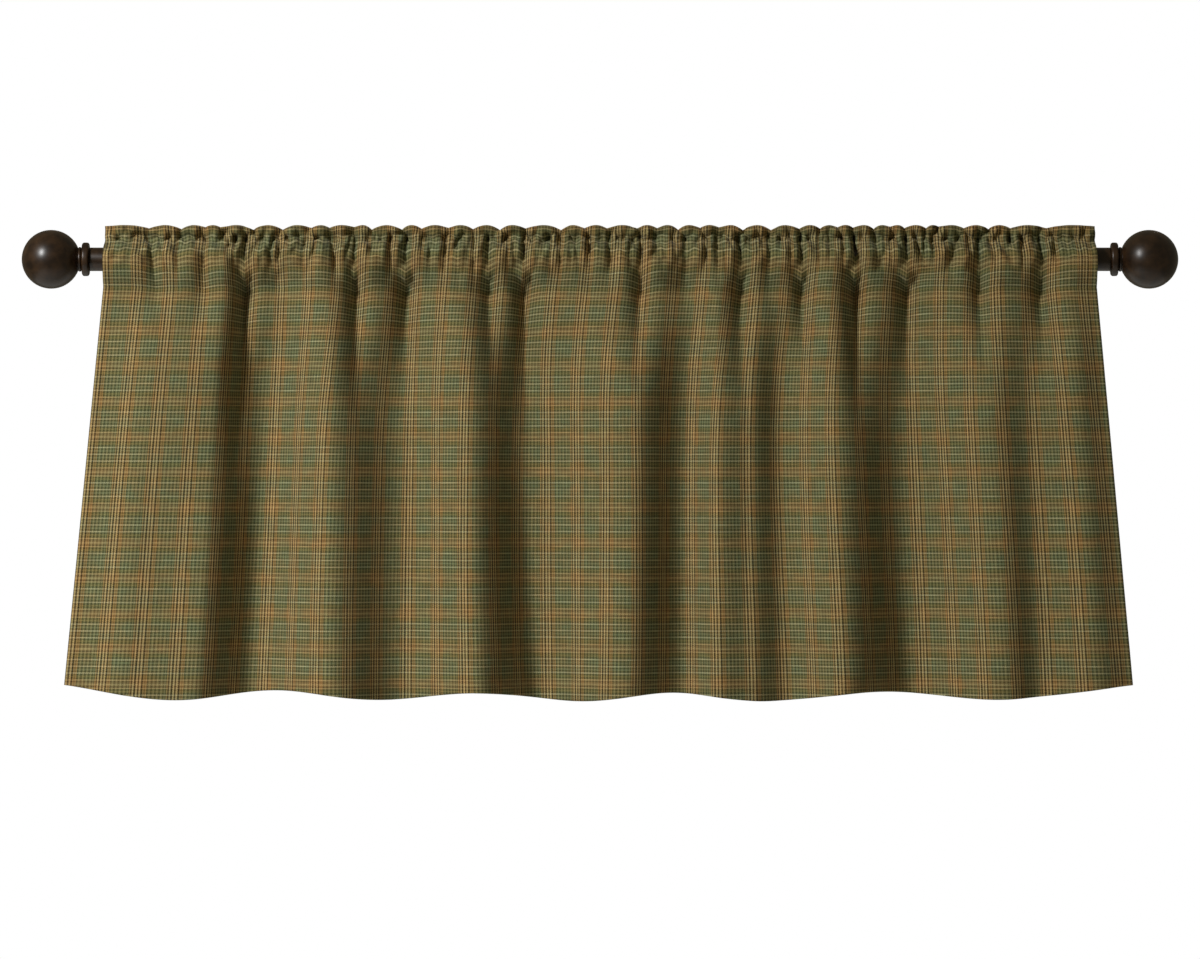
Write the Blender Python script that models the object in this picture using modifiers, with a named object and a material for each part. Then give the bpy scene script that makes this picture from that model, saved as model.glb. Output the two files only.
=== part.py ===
"""A rod-pocket window valance gathered on a curtain rod with two ball finials.

The valance is one cut panel of cloth.  Its top is folded over to the back and sewn
down along two lines: above the first is the header, a stand-up ruffle, and between
the two is the pocket that the rod runs through.  Its foot is turned up as a hem.
Here the panel is one sheet that follows that path: up the back of the hem, up the
front to the top of the header, over, and down the back of the pocket.

Metres, +Z up, the cloth's face towards -Y.  The origin is on the rod's axis at
the middle of its length, where its wall brackets carry it.
"""

import math
from collections import namedtuple

import bpy

MM = 0.001

# ------------------------------------------------------------------ rod and finials
ROD_RADIUS = 10.0 * MM
COLLAR_RADIUS = 14.3 * MM
COLLAR_WIDTH = 6.2 * MM
COLLAR_ROUND = 1.6 * MM
COLLAR_INNER_FACE = 434.6 * MM      # from the middle of the rod
NECK_RADIUS = 10.5 * MM
BALL_RADIUS = 25.0 * MM
BALL_CENTRE = 467.2 * MM            # from the middle of the rod
FITTING_GAP = 0.3 * MM
ROUND_STEPS = 28                    # sides of each turned piece
BALL_STEPS = 12                     # rings from the ball's pole to its neck
CORNER_STEPS = 3                    # facets of a collar's rounded corner
SMOOTH_ANGLE = math.radians(40)     # facets that meet at less than this shade as one
MERGE_DISTANCE = 0.05 * MM

# ------------------------------------------------------------------ cloth, in mm
CLOTH_THICKNESS = 1.5
LAYER_STEP = 2.3                    # from the middle of one layer to that of the next
HEM_TOP_FALL = 0.89                 # the hem is turned up to this share of the drop
HALF_WIDTH = 424.5                  # of the gathered cloth on the rod
HEADER_SHARE = 0.991                # the stitches draw the header in a little
END_DIP = 0.8                       # the header's two top corners are a little low
HEADER_TOP = 28.5                   # height of the header's top edge
HEADER_FULLNESS = 2.2               # half the gap between its front and its back
POCKET_TOP = 16.5                   # height of the upper stitches
POCKET_FOOT = -24.0                 # height of the lower stitches
DROP_FORWARD = 12.5                 # the drop hangs this far in front of the axis
SEAM_FORWARD = 4.0                  # and the upper stitches stand this far in front
POCKET_FOLDS = 0.25                 # share of a fold's depth at the lower stitches
FULL_FOLDS_AT = 0.22                # share of the drop where a fold is fully deep
TROUGH_HALF_WIDTH = 5.5
RUFFLE_ROUNDNESS = 0.6              # under 1 the ruffles are round and the dips sharp
RUFFLE_SHARES = (0.0, 0.3, 0.7)     # places of the columns across one ruffle

# The main folds, left to right: where each crest or valley is under the rod and at
# the hem, and how far it stands in front of the mean in each place.
Fold = namedtuple("Fold", "x_top x_hem depth_top depth_hem")
FOLDS = (
    Fold(-424.5, -455, 1, 1),
    Fold(-375, -402, 12, 15),
    Fold(-328, -350, 11, 12),
    Fold(-280, -297, -22, -27),
    Fold(-230, -227, 15, 25),
    Fold(-169, -168, -17, -17),
    Fold(-115, -104, 12, 25),
    Fold(-64, -53, -17, -26),
    Fold(33, 23, 15, 22),
    Fold(76, 71, -14, -17),
    Fold(102, 102, 10, 11),
    Fold(127, 129, 3, 3),
    Fold(152, 158, -13, -13),
    Fold(199, 207, 13, 25),
    Fold(259, 267, -19, -26),
    Fold(331, 346, 14, 23),
    Fold(366, 375, 3, 6),
    Fold(401, 421, 13, 21),
    Fold(424.5, 452, 3, 9),
)

# The gathers, left to right: where each dip between two ruffles is, how far it lowers
# the header's top edge, how deep a trough it leaves under the lower stitches, and how
# far down that trough runs.
Gather = namedtuple("Gather", "x dip trough reach")
GATHERS = (
    Gather(-387, 2.4, 5, 70),
    Gather(-359, 3.2, 5, 40),
    Gather(-338, 1.5, 7, 90),
    Gather(-326, 1.5, 3, 25),
    Gather(-298, 3.5, 6, 60),
    Gather(-272, 3.6, 6, 70),
    Gather(-247, 2.1, 4, 60),
    Gather(-232, 2.1, 4, 60),
    Gather(-211, 1.4, 8, 60),
    Gather(-196, 3.6, 4, 50),
    Gather(-170, 3.5, 8, 80),
    Gather(-153, 2.8, 4, 40),
    Gather(-130, 2.1, 6, 70),
    Gather(-109, 3.2, 6, 60),
    Gather(-86, 3.7, 6, 80),
    Gather(-64, 2.5, 7, 80),
    Gather(-33, 3.8, 6, 50),
    Gather(-13, 2.3, 5, 80),
    Gather(6, 2.5, 6, 50),
    Gather(32, 2.5, 6, 60),
    Gather(49, 2.4, 3, 40),
    Gather(67, 3.8, 7, 80),
    Gather(86, 2.1, 3, 25),
    Gather(102, 1.7, 6, 50),
    Gather(122, 3.9, 6, 50),
    Gather(147, 3.9, 6, 60),
    Gather(171, 2.9, 8, 80),
    Gather(189, 2.9, 3, 30),
    Gather(204, 1.6, 3, 30),
    Gather(217, 2.1, 6, 60),
    Gather(235, 3.2, 3, 30),
    Gather(249, 1.1, 3, 30),
    Gather(263, 2.5, 8, 80),
    Gather(280, 2.5, 5, 40),
    Gather(293, 1.0, 4, 40),
    Gather(312, 2.4, 3, 30),
    Gather(333, 3.1, 6, 80),
    Gather(352, 2.3, 3, 30),
    Gather(383, 2.3, 6, 70),
)

# The lower edge of the hem: its height at places across.
HemPoint = namedtuple("HemPoint", "x height")
HEM = (
    HemPoint(-455, -361),
    HemPoint(-366, -373.5),
    HemPoint(-271, -366),
    HemPoint(-181, -374),
    HemPoint(-109, -367.5),
    HemPoint(-17, -375),
    HemPoint(57, -368),
    HemPoint(142, -375),
    HemPoint(229, -367),
    HemPoint(340, -373),
    HemPoint(452, -361),
)

# The rows of the hanging part, from the raw edge inside the hem up to the pocket:
# the share of the drop, and the distance behind the front layer.
DropRow = namedtuple("DropRow", "fall behind")
DROP = (
    DropRow(HEM_TOP_FALL, LAYER_STEP),
    DropRow(1.0, LAYER_STEP),
    DropRow(1.0, 0),
    DropRow(0.68, 0),
    DropRow(0.36, 0),
    DropRow(0.13, 0),
)

# The rows round the rod and up to the header and back: the height, the distance in
# front of the axis, the distance behind that, the swing of the ruffles to each side,
# the share of the folds at the top of the drop, and the share of the dips.
HeadRow = namedtuple("HeadRow", "height forward behind swing folds dips")
HEAD = (
    HeadRow(POCKET_FOOT, DROP_FORWARD, 0, 1.5, 1, 0),
    HeadRow(-8, 17.5, 0, 3, 0, 0),
    HeadRow(7, 16, 0, 3, 0, 0),
    HeadRow(POCKET_TOP, SEAM_FORWARD, -0.5 * LAYER_STEP, 3, 0, 0),
    HeadRow(22.5, SEAM_FORWARD, -HEADER_FULLNESS, 3, 0, 0.3),
    HeadRow(HEADER_TOP, SEAM_FORWARD, -0.5 * LAYER_STEP, 3, 0, 1),
    HeadRow(HEADER_TOP, SEAM_FORWARD, 0.5 * LAYER_STEP, 3, 0, 1),
    HeadRow(22.5, SEAM_FORWARD, HEADER_FULLNESS, 3, 0, 0.3),
    HeadRow(POCKET_TOP, SEAM_FORWARD, 0.5 * LAYER_STEP, 3, 0, 0),
    HeadRow(5.5, -12.5, 0, 1, 0, 0),
    HeadRow(-6, -12.5, 0, 1, 0, 0),
    HeadRow(POCKET_FOOT, DROP_FORWARD, LAYER_STEP, 1.5, 1, 0),
)

# One column of the sheet: its place on the rod, how near a ruffle's crest it is
# (0 in a dip, 1 on the crest), and the depth of the dip there.
Column = namedtuple("Column", "x crest dip")


def mix(start, end, share):
    """The value a share of the way from start to end."""
    return start + (end - start) * share


def ease(share):
    """A share from 0 to 1 that leaves and arrives level, as a soft fold does."""
    return share ** 3 * (share * (6 * share - 15) + 10)


def find_span(places, x):
    """The index of the pair of places that x lies between, and the share across."""
    last = len(places) - 2
    index = 0
    while index < last and x > places[index + 1]:
        index += 1
    share = (x - places[index]) / (places[index + 1] - places[index])
    return index, share


# ------------------------------------------------------------------ shape of the cloth
def ruffle_columns():
    """Three columns to each ruffle: its dip and the two shoulders of its crest.

    The first and last ruffles are half ones, with their crest at the cloth's edge.
    """
    places = [-HALF_WIDTH] + [gather.x for gather in GATHERS] + [HALF_WIDTH]
    dips = [END_DIP] + [gather.dip for gather in GATHERS] + [END_DIP]
    last = len(places) - 2
    columns = []
    for index in range(last + 1):
        for share in RUFFLE_SHARES:
            turn = share
            if index == 0:
                turn = mix(0.5, 1.0, share)
            if index == last:
                turn = share / 2
            columns.append(Column(
                x=mix(places[index], places[index + 1], share),
                crest=math.sin(math.pi * turn) ** RUFFLE_ROUNDNESS,
                dip=mix(dips[index], dips[index + 1], share)))
    columns.append(Column(x=HALF_WIDTH, crest=1.0, dip=END_DIP))
    return columns


def hem_height(x):
    """Height of the hem's edge: a smooth curve through the rows of HEM."""
    places = [point.x for point in HEM]
    index, share = find_span(places, x)
    start, end = HEM[index], HEM[index + 1]
    before = HEM[max(index - 1, 0)]
    after = HEM[min(index + 2, len(HEM) - 1)]
    width = end.x - start.x
    slope_start = (end.height - before.height) / (end.x - before.x) * width
    slope_end = (after.height - start.height) / (after.x - start.x) * width
    square, cube = share ** 2, share ** 3
    return ((2 * cube - 3 * square + 1) * start.height
            + (cube - 2 * square + share) * slope_start
            + (3 * square - 2 * cube) * end.height
            + (cube - square) * slope_end)


def trough_depth(x, below):
    """Depth of the gathers' troughs at a place, a distance below the lower stitches."""
    depth = 0.0
    for gather in GATHERS:
        left = max(1.0 - below / gather.reach, 0.0)
        across = (x - gather.x) / TROUGH_HALF_WIDTH
        depth += gather.trough * left ** 2 * math.exp(-across ** 2)
    return depth


def drop_point(column, fall):
    """Across, forward and up for a column at a share of the drop under the pocket."""
    places = [fold.x_top for fold in FOLDS]
    index, share = find_span(places, column.x)
    left, right = FOLDS[index], FOLDS[index + 1]
    x_hem = mix(left.x_hem, right.x_hem, share)
    depth_left = mix(left.depth_top, left.depth_hem, fall)
    depth_right = mix(right.depth_top, right.depth_hem, fall)
    folds = mix(depth_left, depth_right, ease(share))
    grown = ease(min(fall / FULL_FOLDS_AT, 1.0))
    height = mix(POCKET_FOOT, hem_height(x_hem), fall)
    forward = DROP_FORWARD + folds * mix(POCKET_FOLDS, 1.0, grown)
    forward -= trough_depth(column.x, POCKET_FOOT - height)
    return mix(column.x, x_hem, fall), forward, height


def head_point(column, row):
    """Across, forward and up for a column on a row of the pocket or the header."""
    narrowed = ease(min(max(row.height / POCKET_TOP, 0.0), 1.0))
    across = column.x * mix(1.0, HEADER_SHARE, narrowed)
    forward = row.forward + row.swing * (2 * column.crest - 1)
    height = row.height - row.dips * column.dip * (1 - column.crest)
    forward += row.folds * (drop_point(column, 0.0)[1] - DROP_FORWARD)
    return across, forward, height


def set_behind(row_points, behind):
    """Move a row of points backwards, square to the line that they make in plan."""
    moved = []
    last = len(row_points) - 1
    for index, (across, forward, height) in enumerate(row_points):
        before = row_points[max(index - 1, 0)]
        after = row_points[min(index + 1, last)]
        run = after[0] - before[0]
        rise = after[1] - before[1]
        length = math.hypot(run, rise)
        moved.append((across + behind * rise / length,
                      forward - behind * run / length,
                      height))
    return moved


def sheet_rows():
    """Every row of the sheet's middle surface, along the path of the cloth."""
    columns = ruffle_columns()
    rows = []
    for row in DROP:
        points = [drop_point(column, row.fall) for column in columns]
        rows.append(set_behind(points, row.behind))
    for row in HEAD:
        points = [head_point(column, row) for column in columns]
        rows.append(set_behind(points, row.behind))
    return rows


# ------------------------------------------------------------------ making the pieces
def empty_scene():
    for old in list(bpy.data.objects):
        bpy.data.objects.remove(old, do_unlink=True)


def plain_material(name, colour, roughness, metallic):
    material = bpy.data.materials.new(name)
    material.use_nodes = True
    shader = material.node_tree.nodes["Principled BSDF"]
    shader.inputs["Base Color"].default_value = colour
    shader.inputs["Roughness"].default_value = roughness
    shader.inputs["Metallic"].default_value = metallic
    return material


def add_piece(name, mesh, material, collection):
    piece = bpy.data.objects.new(name, mesh)
    piece.data.materials.append(material)
    collection.objects.link(piece)
    return piece


def make_valance(collection):
    """The panel starts as a flat grid, a column and a row for each in the tables."""
    rows = sheet_rows()
    bpy.ops.mesh.primitive_grid_add(
        x_subdivisions=len(rows[0]) - 1, y_subdivisions=len(rows) - 1, size=2.0)
    grid = bpy.context.object
    for vertex in grid.data.vertices:
        column = round((vertex.co.x + 1) / 2 * (len(rows[0]) - 1))
        row = round((vertex.co.y + 1) / 2 * (len(rows) - 1))
        across, forward, height = rows[row][column]
        vertex.co = (across * MM, -forward * MM, height * MM)
    mesh = grid.data.copy()
    bpy.data.objects.remove(grid, do_unlink=True)
    cloth = plain_material("plaid_cloth", (0.15, 0.12, 0.05, 1), 0.9, 0.0)
    valance = add_piece("valance", mesh, cloth, collection)
    solidify = valance.modifiers.new("Cloth thickness", 'SOLIDIFY')
    solidify.thickness = CLOTH_THICKNESS * MM
    solidify.offset = 0.0


def make_rod(metal, collection):
    bpy.ops.mesh.primitive_cylinder_add(
        vertices=ROUND_STEPS, radius=ROD_RADIUS,
        depth=2 * (COLLAR_INNER_FACE - FITTING_GAP), end_fill_type='NGON')
    cylinder = bpy.context.object
    rod = add_piece("rod", cylinder.data.copy(), metal, collection)
    bpy.data.objects.remove(cylinder, do_unlink=True)
    rod.rotation_euler = (0, math.radians(90), 0)
    shade_round(rod)


def shade_round(piece):
    piece.data.shade_smooth()
    piece.data.set_sharp_from_angle(angle=SMOOTH_ANGLE)


def collar_profile():
    """From the axis at the outer face, round the rim, back to the axis."""
    half = COLLAR_WIDTH / 2
    profile = [(0.0, half)]
    for end in (1, -1):
        for step in range(CORNER_STEPS + 1):
            turn = math.radians(90) * step / CORNER_STEPS
            if end == 1:
                turn = math.radians(90) - turn
            profile.append((COLLAR_RADIUS - COLLAR_ROUND * (1 - math.cos(turn)),
                            end * (half - COLLAR_ROUND * (1 - math.sin(turn)))))
    profile.append((0.0, -half))
    return profile


def ball_profile():
    """From the ball's outer pole down its side to the neck, and in to the axis."""
    neck_turn = math.pi - math.asin(NECK_RADIUS / BALL_RADIUS)
    profile = []
    for step in range(BALL_STEPS + 1):
        turn = neck_turn * step / BALL_STEPS
        profile.append((BALL_RADIUS * math.sin(turn), BALL_RADIUS * math.cos(turn)))
    neck_face = COLLAR_INNER_FACE + COLLAR_WIDTH + FITTING_GAP - BALL_CENTRE
    profile.append((NECK_RADIUS, neck_face))
    profile.append((0.0, neck_face))
    return profile


def turned_piece(name, profile, centre, side, metal, collection):
    """Turn a profile about the rod's axis, its top facing outwards at that end."""
    mesh = bpy.data.meshes.new(name)
    points = [(radius, 0.0, along) for radius, along in profile]
    edges = [(index, index + 1) for index in range(len(points) - 1)]
    mesh.from_pydata(points, edges, [])
    piece = add_piece(name, mesh, metal, collection)
    screw = piece.modifiers.new("Turn", 'SCREW')
    screw.axis = 'Z'
    screw.steps = ROUND_STEPS
    screw.render_steps = ROUND_STEPS
    screw.use_merge_vertices = True
    screw.merge_threshold = MERGE_DISTANCE
    screw.use_smooth_shade = True
    piece.location = (side * centre, 0, 0)
    piece.rotation_euler = (0, side * math.radians(90), 0)


def build():
    empty_scene()
    collection = bpy.data.collections.new("window_valance")
    bpy.context.scene.collection.children.link(collection)
    make_valance(collection)
    bronze = plain_material("dark_bronze", (0.02, 0.014, 0.012, 1), 0.45, 0.6)
    make_rod(bronze, collection)
    for side, name in ((-1, "left"), (1, "right")):
        turned_piece("finial_collar_" + name, collar_profile(),
                     COLLAR_INNER_FACE + COLLAR_WIDTH / 2, side, bronze, collection)
        turned_piece("finial_ball_" + name, ball_profile(),
                     BALL_CENTRE, side, bronze, collection)


build()
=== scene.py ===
# %% [markdown]
# # A gathered plaid valance on a rod with ball finials
# A valance is the short curtain across the top of a window.  This one is one panel of
# homespun cotton.  Its top is folded back and sewn down along two lines, which leaves
# a pocket for the rod and, above it, a small ruffle called the header.
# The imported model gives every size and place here.  It is loaded first, and each
# finer piece below stands where its plain solid stands.

# %% Load the frame
import math
from collections import namedtuple

import bpy
import numpy as np
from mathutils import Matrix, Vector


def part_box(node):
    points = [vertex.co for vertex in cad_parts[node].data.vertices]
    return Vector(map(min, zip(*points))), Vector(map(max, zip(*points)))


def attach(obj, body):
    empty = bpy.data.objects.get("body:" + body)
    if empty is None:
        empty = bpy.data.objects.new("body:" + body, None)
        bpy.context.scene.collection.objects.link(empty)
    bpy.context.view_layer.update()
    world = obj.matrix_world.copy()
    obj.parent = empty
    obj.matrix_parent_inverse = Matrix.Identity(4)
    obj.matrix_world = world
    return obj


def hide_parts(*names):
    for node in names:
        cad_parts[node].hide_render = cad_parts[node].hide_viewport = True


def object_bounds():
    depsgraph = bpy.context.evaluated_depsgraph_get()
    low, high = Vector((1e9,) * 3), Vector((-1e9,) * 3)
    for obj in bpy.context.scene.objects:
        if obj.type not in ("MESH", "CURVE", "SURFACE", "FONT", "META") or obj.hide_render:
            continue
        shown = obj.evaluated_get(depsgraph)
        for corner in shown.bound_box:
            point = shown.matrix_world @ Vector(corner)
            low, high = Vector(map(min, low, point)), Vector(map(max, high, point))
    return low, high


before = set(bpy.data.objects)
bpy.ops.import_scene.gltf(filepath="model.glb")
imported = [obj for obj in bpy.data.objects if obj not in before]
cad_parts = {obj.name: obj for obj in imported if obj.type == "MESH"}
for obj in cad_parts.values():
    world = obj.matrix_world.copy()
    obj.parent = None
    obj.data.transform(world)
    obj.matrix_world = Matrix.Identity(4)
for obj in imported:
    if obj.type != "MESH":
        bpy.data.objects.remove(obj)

MM = 0.001
cad_low, cad_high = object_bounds()
print("the model is", (cad_high - cad_low) / MM, "mm")

# %% [markdown]
# ## Camera
# The view is square on to the cloth, from a good way back, so that the hem, the rod
# and both finials are seen without much perspective.  The aim is a little under the
# middle of the object.

# %% Camera
VIEW_DISTANCE = 6.0
VIEW_WIDTH = 1.0215          # metres of the scene across the picture, at the rod
SENSOR_WIDTH = 36.0
AIM_BELOW_MIDDLE = 0.0142

middle = (cad_low + cad_high) / 2
camera_data = bpy.data.cameras.new("camera")
camera_data.sensor_width = SENSOR_WIDTH
camera_data.lens = SENSOR_WIDTH * VIEW_DISTANCE / VIEW_WIDTH
camera = bpy.data.objects.new("camera", camera_data)
camera.location = (middle.x, -VIEW_DISTANCE, middle.z - AIM_BELOW_MIDDLE)
camera.rotation_euler = (math.radians(90), 0, 0)
bpy.context.scene.collection.objects.link(camera)
bpy.context.scene.camera = camera
print("lens", round(camera_data.lens, 1), "mm")

# %% [markdown]
# ## Meshes from arrays
# Each piece is a surface worked out as whole arrays of points.  Blender's ready-made
# shapes could be bent into place instead, but a formula says in a line what the shape
# is, and gives the same mesh each time.

# %% Shares


def mix(start, end, share):
    """The value a share of the way from start to end."""
    return start + (end - start) * share


def ease(share):
    """A share from 0 to 1 that leaves and arrives level: 6 s^5 - 15 s^4 + 10 s^3."""
    share = np.clip(share, 0.0, 1.0)
    return share ** 3 * (share * (6 * share - 15) + 10)


print("a quarter of the way, eased:", round(float(ease(0.25)), 3))

# %% Points and faces


def add_mesh(name, points, faces):
    """Makes a smooth-shaded object at the origin from points and faces."""
    mesh = bpy.data.meshes.new(name)
    mesh.from_pydata(points.reshape(-1, 3).tolist(), [], faces)
    mesh.shade_smooth()
    piece = bpy.data.objects.new(name, mesh)
    bpy.context.scene.collection.objects.link(piece)
    return piece


def grid_faces(rows, columns):
    """The quads between neighbouring points of a grid, as an array of four indices."""
    index = np.arange(rows * columns).reshape(rows, columns)
    corners = (index[:-1, :-1], index[:-1, 1:], index[1:, 1:], index[1:, :-1])
    return np.stack(corners, axis=-1).reshape(-1, 4)


print("a grid of 3 by 4 points has", len(grid_faces(3, 4)), "quads")

# %% [markdown]
# ## Nodes and colours
# One small function adds a node with its settings and its links, so that a material
# reads as a list of steps.  Colours are written as sRGB hex values, as on a paint
# card, and one function turns them to the linear values that light adds up in.

# %% Node helpers


def linear(code, alpha=1.0):
    """An sRGB hex colour as linear values: ((c + 0.055) / 1.055) ^ 2.4."""
    parts = [int(code[i:i + 2], 16) / 255 for i in (0, 2, 4)]
    light = [p / 12.92 if p <= 0.04045 else ((p + 0.055) / 1.055) ** 2.4
             for p in parts]
    return (*light, alpha)


def set_inputs(tree, node, *values, **named):
    """Sets a node's sockets, in order or by name with _ for a space.  A node gives
    its first output, an output socket is linked, and any other value is set."""
    for key, value in [*enumerate(values), *named.items()]:
        socket = node.inputs[key.replace("_", " ") if key in named else key]
        if isinstance(value, bpy.types.Node):
            value = value.outputs[0]
        if isinstance(value, bpy.types.NodeSocket):
            tree.links.new(value, socket)
        else:
            socket.default_value = value


def add_node(tree, kind, settings, *values, **named):
    """Adds a node, with settings for its own properties and the rest for sockets."""
    node = tree.nodes.new("ShaderNode" + kind)
    for key, value in settings.items():
        setattr(node, key, value)
    set_inputs(tree, node, *values, **named)
    return node


def new_material(name):
    """An empty material with a Principled shader wired to its output."""
    material = bpy.data.materials.new(name)
    material.use_nodes = True
    tree = material.node_tree
    return material, tree, tree.nodes["Principled BSDF"]


print("middle grey is", round(linear("808080")[0], 3), "in linear light")

# %% [markdown]
# ## Rod and finials
# The rod is a steel tube, and at each end sit a turned collar and a ball with a short
# beaded neck.  A cylinder and a sphere with bevels would come close, but a lathe
# makes each of these from one profile, and so does this: the profile is carried round
# the rod's axis, which gives the neck and its bead in the same closed skin.

# %% Turning


def turned(name, along, radius, side, sides=96):
    """A profile turned about the rod's axis, with its two ends closed on the axis.

    The point at station a and angle t is (side * a, r cos t, r sin t).  The first
    and the last point of the profile have no radius, so each is a single pole.
    """
    angle = np.linspace(0, 2 * math.pi, sides, endpoint=False)
    rings = np.stack(np.broadcast_arrays(
        side * along[1:-1, None],
        radius[1:-1, None] * np.cos(angle),
        radius[1:-1, None] * np.sin(angle)), axis=-1)
    poles = np.array([[side * along[0], 0, 0], [side * along[-1], 0, 0]])
    points = np.concatenate([rings.reshape(-1, 3), poles])
    index = np.arange(rings.shape[0] * sides).reshape(-1, sides)
    ahead = np.roll(index, -1, axis=1)
    quads = np.stack(
        (index[:-1], ahead[:-1], ahead[1:], index[1:]), axis=-1).reshape(-1, 4)
    first, last = np.full(sides, index.size), np.full(sides, index.size + 1)
    fans = (np.stack((first, ahead[0], index[0]), axis=-1),
            np.stack((last, index[-1], ahead[-1]), axis=-1))
    order = -1 if side > 0 else 1
    faces = [face for group in (quads, *fans) for face in group[:, ::order].tolist()]
    return add_mesh(name, points, faces)


def arc(centre_along, centre_radius, size, start, end, steps):
    """Points round a circle in the profile's plane, from one angle to another."""
    angle = np.radians(np.linspace(start, end, steps))
    return (centre_along + size * np.cos(angle), centre_radius + size * np.sin(angle))


def join(*pieces):
    """One profile from arcs and single points, in order."""
    along = np.concatenate([np.atleast_1d(piece[0]) for piece in pieces])
    radius = np.concatenate([np.atleast_1d(piece[1]) for piece in pieces])
    return along, radius


print("a quarter circle is", len(arc(0, 0, 1, 0, 90, 5)[0]), "points of a profile")

# %% Rod
ROD_BEVEL = 0.5 * MM

rod_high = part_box("rod")[1]
rod_end = rod_high.x
rod_radius = rod_high.z
outer = arc(rod_end - ROD_BEVEL, rod_radius - ROD_BEVEL, ROD_BEVEL, 0, 90, 5)
inner = (-outer[0][::-1], outer[1][::-1])
rod = turned("rod_tube", *join((rod_end, 0), outer, inner, (-rod_end, 0)), side=1)
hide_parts("rod")
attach(rod, "root")
print("rod", round(2 * rod_end / MM, 1), "mm long")

# %% Profiles of the collar and the ball
COLLAR_CORNER = 2.0 * MM
NECK_RADIUS = 9.3 * MM
BEAD_SIZE = 1.5 * MM
BEAD_CENTRE_RADIUS = 9.0 * MM
BEAD_FROM_COLLAR = 0.1 * MM
BEAD_ARC = (25, 165)                # degrees of the bead's circle that show
POLE_GAP = 2                        # degrees between the ball's pole and first ring


def collar_profile(low, high):
    """A flat ring with rounded corners, from its outer face to its inner face."""
    inside, outside, size = low.x, high.x, high.z
    return join(
        (outside, 0),
        arc(outside - COLLAR_CORNER, size - COLLAR_CORNER, COLLAR_CORNER, 0, 90, 10),
        arc(inside + COLLAR_CORNER, size - COLLAR_CORNER, COLLAR_CORNER, 90, 180, 10),
        (inside, 0))


def ball_profile(low, high):
    """A ball from its outer pole to its neck, then a bead, then the neck's face."""
    size = high.z
    centre = high.x - size
    neck_turn = 180 - math.degrees(math.asin(NECK_RADIUS / size))
    bead_along = low.x + BEAD_SIZE + BEAD_FROM_COLLAR
    return join(
        (high.x, 0),
        arc(centre, 0, size, POLE_GAP, neck_turn, 72),
        arc(bead_along, BEAD_CENTRE_RADIUS, BEAD_SIZE, *BEAD_ARC, 14),
        (low.x, NECK_RADIUS),
        (low.x, 0))


collar_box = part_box("finial_collar_right")
ball_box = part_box("finial_ball_right")
print("ball", round(2 * ball_box[1].z / MM, 1), "mm across")

# %% Collars and balls
finials = []
for side, word in ((-1, "left"), (1, "right")):
    collar = turned(word + "_collar", *collar_profile(*collar_box), side=side)
    ball = turned(word + "_ball", *ball_profile(*ball_box), side=side)
    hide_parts("finial_collar_" + word)
    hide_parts("finial_ball_" + word)
    for piece in (collar, ball):
        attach(piece, "root")
        finials.append(piece)
print("finials", [piece.name for piece in finials])

# %% [markdown]
# ### Dark bronze lacquer
# The metal is steel and cast resin under the same baked lacquer, a very dark brown
# that shops call oil-rubbed bronze.  A metallic shader would look like bare bronze.
# Lacquer is a clear film over colour, so it isn't metallic to the eye.  It gives a
# small soft highlight, a pale rim at the edge, and a faint mottle of lighter brown
# where the colour was rubbed.

# %% Bronze
MOTTLE_SCALE = 110.0                # clouds of about 9 mm
PEEL_SCALE = 900.0                  # the lacquer's orange peel, about 1 mm
PEEL_HEIGHT = 0.2 * MM


def bronze_lacquer(name, brown, rubbed):
    """Satin lacquer, with a cloudy mottle between two browns and an orange peel."""
    material, tree, shader = new_material(name)
    place = add_node(tree, "TexCoord", {}).outputs["Object"]
    cloud = add_node(tree, "TexNoise", {}, Vector=place, Scale=MOTTLE_SCALE,
                     Detail=3.0).outputs["Fac"]
    peel = add_node(tree, "TexNoise", {}, Vector=place, Scale=PEEL_SCALE,
                    Detail=1.0).outputs["Fac"]
    colour = add_node(tree, "ValToRGB", {}, Fac=cloud)
    stops = colour.color_ramp.elements
    stops[0].position, stops[0].color = 0.35, linear(brown)
    stops[1].position, stops[1].color = 0.75, linear(rubbed)
    rough = add_node(tree, "MapRange", {}, Value=cloud, To_Min=0.30, To_Max=0.40)
    bump = add_node(tree, "Bump", {}, Height=peel, Strength=0.06,
                    Distance=PEEL_HEIGHT)
    set_inputs(tree, shader, Base_Color=colour, Roughness=rough, Normal=bump,
               Specular_IOR_Level=0.42, Coat_Weight=0.08, Coat_Roughness=0.22)
    return material


bronze = bronze_lacquer("dark_bronze_lacquer", brown="21150b", rubbed="3d2a18")
for piece in [rod, *finials]:
    piece.data.materials.append(bronze)
print(bronze.name, "on", 1 + len(finials), "pieces")

# %% [markdown]
# ## The shape of the cloth
# Gathered cloth has folds at three sizes.  The main folds hang the whole way to the
# hem and grow deeper as they go.  Each gather starts as a sharp pinch at the upper
# seam and dies out below it.  The header stands up above the seam as a row of small
# round ruffles.  A cloth simulation could hang the panel, but where the stitching
# pinches it is the maker's choice, so each size has its own short table here, a row
# for each fold, in mm.

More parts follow.
